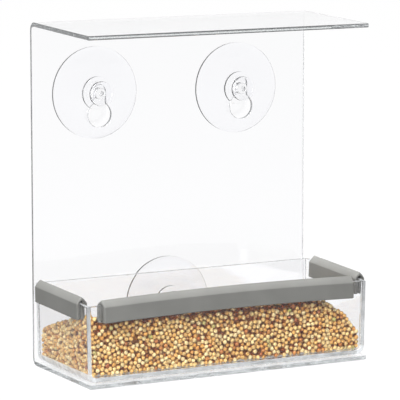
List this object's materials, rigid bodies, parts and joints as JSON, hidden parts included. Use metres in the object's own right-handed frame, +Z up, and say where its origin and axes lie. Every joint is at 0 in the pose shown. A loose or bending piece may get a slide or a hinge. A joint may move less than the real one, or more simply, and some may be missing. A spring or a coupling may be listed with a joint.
{
  "type": "window bird feeder",
  "caption": "Clear acrylic shell bent to a C, held to a window pane by soft suction cups in keyholes, with a loose clear seed tray and soft grey perch grips on the tray's walls.",
  "frame": {"origin": "centre of the underside of the shell's base, on the surface it stands on when it is not on a pane", "axes": "+Z up, +Y toward the window pane, -Y out of the open front, +X to the right for someone who looks at the open front"},
  "size_m": [0.1551, 0.0706, 0.1669],
  "materials": {
    "clear_acrylic": "clear, polished faces and sawn and flame-polished edges",
    "clear_soft_pvc": "clear, glossy and soft",
    "grey_rubber": "matt grey, as extruded",
    "millet": "loose grains, cream, gold and red-brown"
  },
  "bodies": {
    "shell": {"shell": "clear_acrylic"},
    "tray": {"tray_body": "clear_acrylic", "tray_front": "clear_acrylic", "tray_back": "clear_acrylic", "seed_fill": "millet"},
    "left_grip": {"left_perch_grip": "grey_rubber"},
    "front_grip": {"front_perch_grip": "grey_rubber"},
    "right_grip": {"right_perch_grip": "grey_rubber"},
    "upper_left_cup": {"upper_left_suction_cup": "clear_soft_pvc"},
    "upper_right_cup": {"upper_right_suction_cup": "clear_soft_pvc"},
    "lower_cup": {"lower_suction_cup": "clear_soft_pvc"}
  },
  "joints": [
    {"name": "tray_slide", "type": "slide", "parent": "shell", "child": "tray", "axis": [0, -1, 0], "range_m": [0, 0.06]},
    {"name": "left_grip_lift", "type": "slide", "parent": "tray", "child": "left_grip", "axis": [-0.0209, 0, 0.9998], "range_m": [0, 0.012]},
    {"name": "front_grip_lift", "type": "slide", "parent": "tray", "child": "front_grip", "axis": [0, 0, 1], "range_m": [0, 0.012]},
    {"name": "right_grip_lift", "type": "slide", "parent": "tray", "child": "right_grip", "axis": [0.0209, 0, 0.9998], "range_m": [0, 0.012]},
    {"name": "upper_left_cup_slide", "type": "slide", "parent": "shell", "child": "upper_left_cup", "axis": [0, 0, -1], "range_m": [-0.0012, 0.0103]},
    {"name": "upper_right_cup_slide", "type": "slide", "parent": "shell", "child": "upper_right_cup", "axis": [0, 0, -1], "range_m": [-0.0026, 0.0089]},
    {"name": "lower_cup_slide", "type": "slide", "parent": "shell", "child": "lower_cup", "axis": [0, 0, -1], "range_m": [-0.0012, 0.0103]}
  ]
}
